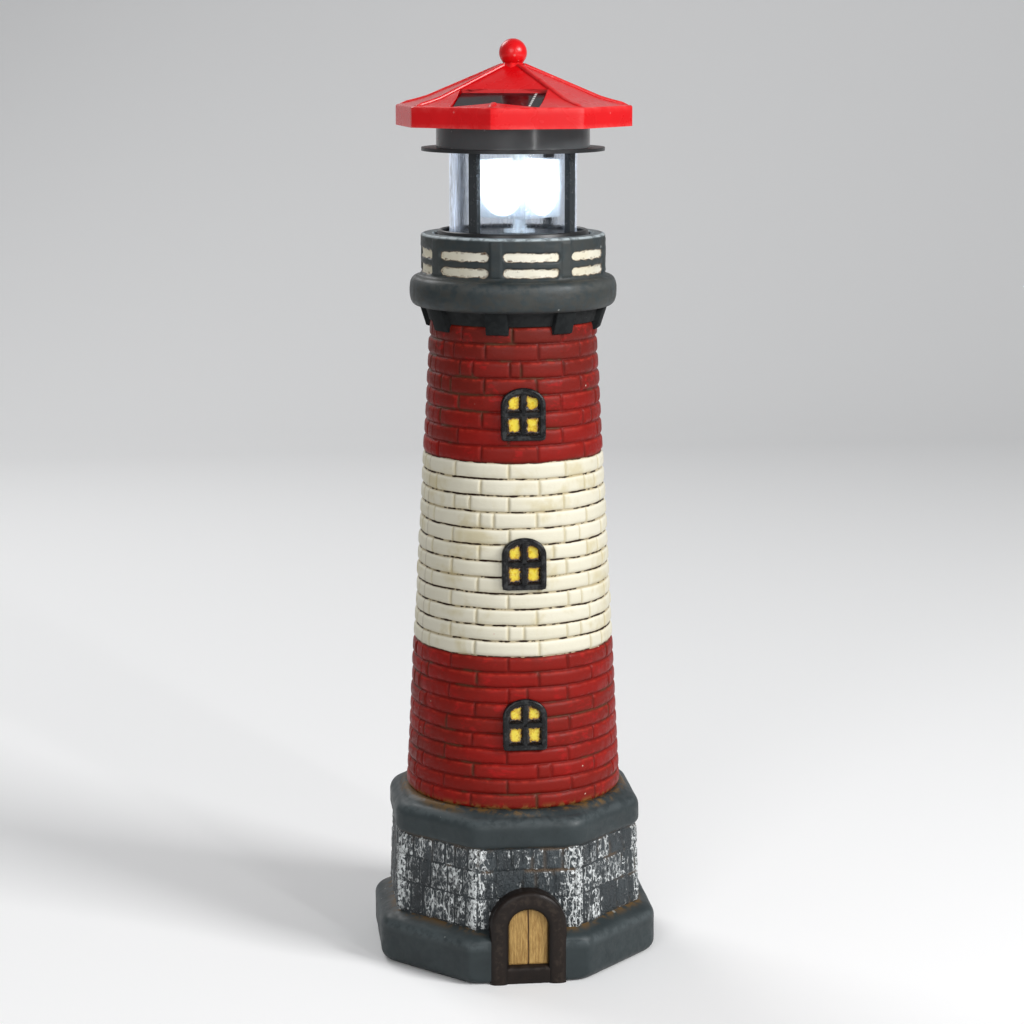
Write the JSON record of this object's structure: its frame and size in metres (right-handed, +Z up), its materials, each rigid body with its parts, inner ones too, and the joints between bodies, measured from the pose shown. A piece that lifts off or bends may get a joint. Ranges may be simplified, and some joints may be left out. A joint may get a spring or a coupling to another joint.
{
  "type": "garden lighthouse ornament",
  "caption": "Hollow cast lighthouse tower with a solar lamp head that lifts out of the gallery and turns its lenses round a small light.",
  "frame": {"origin": "on the ground under the tower's axis, at the middle of the foot", "axes": "+Z up along the tower, -Y towards the side with the door and the windows, +X to the right seen from the door"},
  "size_m": [0.122, 0.122, 0.4001],
  "materials": {
    "cast_resin": "painted cast resin, matte",
    "black_plastic": "satin black moulded plastic",
    "battery_case": "shrink sleeve",
    "spring_steel": "nickel plated",
    "white_plastic": "natural moulded plastic",
    "motor_steel": "plated can",
    "shaft_steel": "ground",
    "bush_brass": "turned",
    "clear_plastic": "clear polished plastic",
    "grey_plastic": "dark grey moulded plastic",
    "board_green": "solder mask",
    "led_glow": "clear lens, lit white",
    "red_plastic": "glossy red moulded plastic",
    "solar_cell": "cells under clear resin",
    "red_lead": "insulated wire",
    "black_lead": "insulated wire",
    "screw_steel": "zinc plated"
  },
  "bodies": {
    "tower": {"tower": "cast_resin"},
    "lamp_head": {"lamp_base": "black_plastic", "base_cover": "black_plastic", "battery": "battery_case", "contact_plate": "spring_steel", "contact_spring": "spring_steel", "drive_plate": "white_plastic", "motor": "motor_steel", "lantern_floor": "black_plastic", "rotor_bush": "bush_brass", "lantern_tube": "clear_plastic", "lantern_post_1": "grey_plastic", "lantern_post_2": "grey_plastic", "lantern_post_3": "grey_plastic", "lantern_post_4": "grey_plastic", "ceiling_plate": "black_plastic", "housing": "grey_plastic", "circuit_board": "board_green", "switch_body": "spring_steel", "led_holder": "white_plastic", "led_bulb": "led_glow", "roof": "red_plastic", "solar_panel": "solar_cell", "panel_leads": "red_lead", "lead_positive": "red_lead", "lead_negative": "black_lead", "small_screws": "screw_steel", "roof_screws": "screw_steel"},
    "battery_door": {"battery_door": "black_plastic"},
    "rotor": {"rotor_shaft": "shaft_steel", "rotor_gear": "white_plastic", "rotor_hub": "clear_plastic", "lens_frame": "clear_plastic", "lens_1": "clear_plastic", "lens_2": "clear_plastic", "lens_3": "clear_plastic", "lens_4": "clear_plastic"},
    "motor_rotor": {"motor_shaft": "shaft_steel", "motor_pinion": "white_plastic"},
    "switch_knob": {"switch_knob": "black_plastic"}
  },
  "joints": [
    {"name": "head_lift", "type": "slide", "parent": "tower", "child": "lamp_head", "axis": [0, 0, 1], "range_m": [0, 0.06]},
    {"name": "battery_door_drop", "type": "slide", "parent": "lamp_head", "child": "battery_door", "axis": [0, 0, -1], "range_m": [0, 0.02]},
    {"name": "rotor_spin", "type": "hinge", "parent": "lamp_head", "child": "rotor", "pos_m": [0.0027, 0, 0.32], "axis": [0, 0, 1], "continuous": true},
    {"name": "motor_spin", "type": "hinge", "parent": "lamp_head", "child": "motor_rotor", "pos_m": [0.0027, -0.014, 0.31], "axis": [0, 0, 1], "continuous": true},
    {"name": "switch_slide", "type": "slide", "parent": "lamp_head", "child": "switch_knob", "axis": [0.9114, 0.4115, 0], "range_m": [0, 0.0024]}
  ],
  "couplings": [
    {"joint": "motor_spin", "follows": "rotor_spin", "ratio": -3}
  ]
}
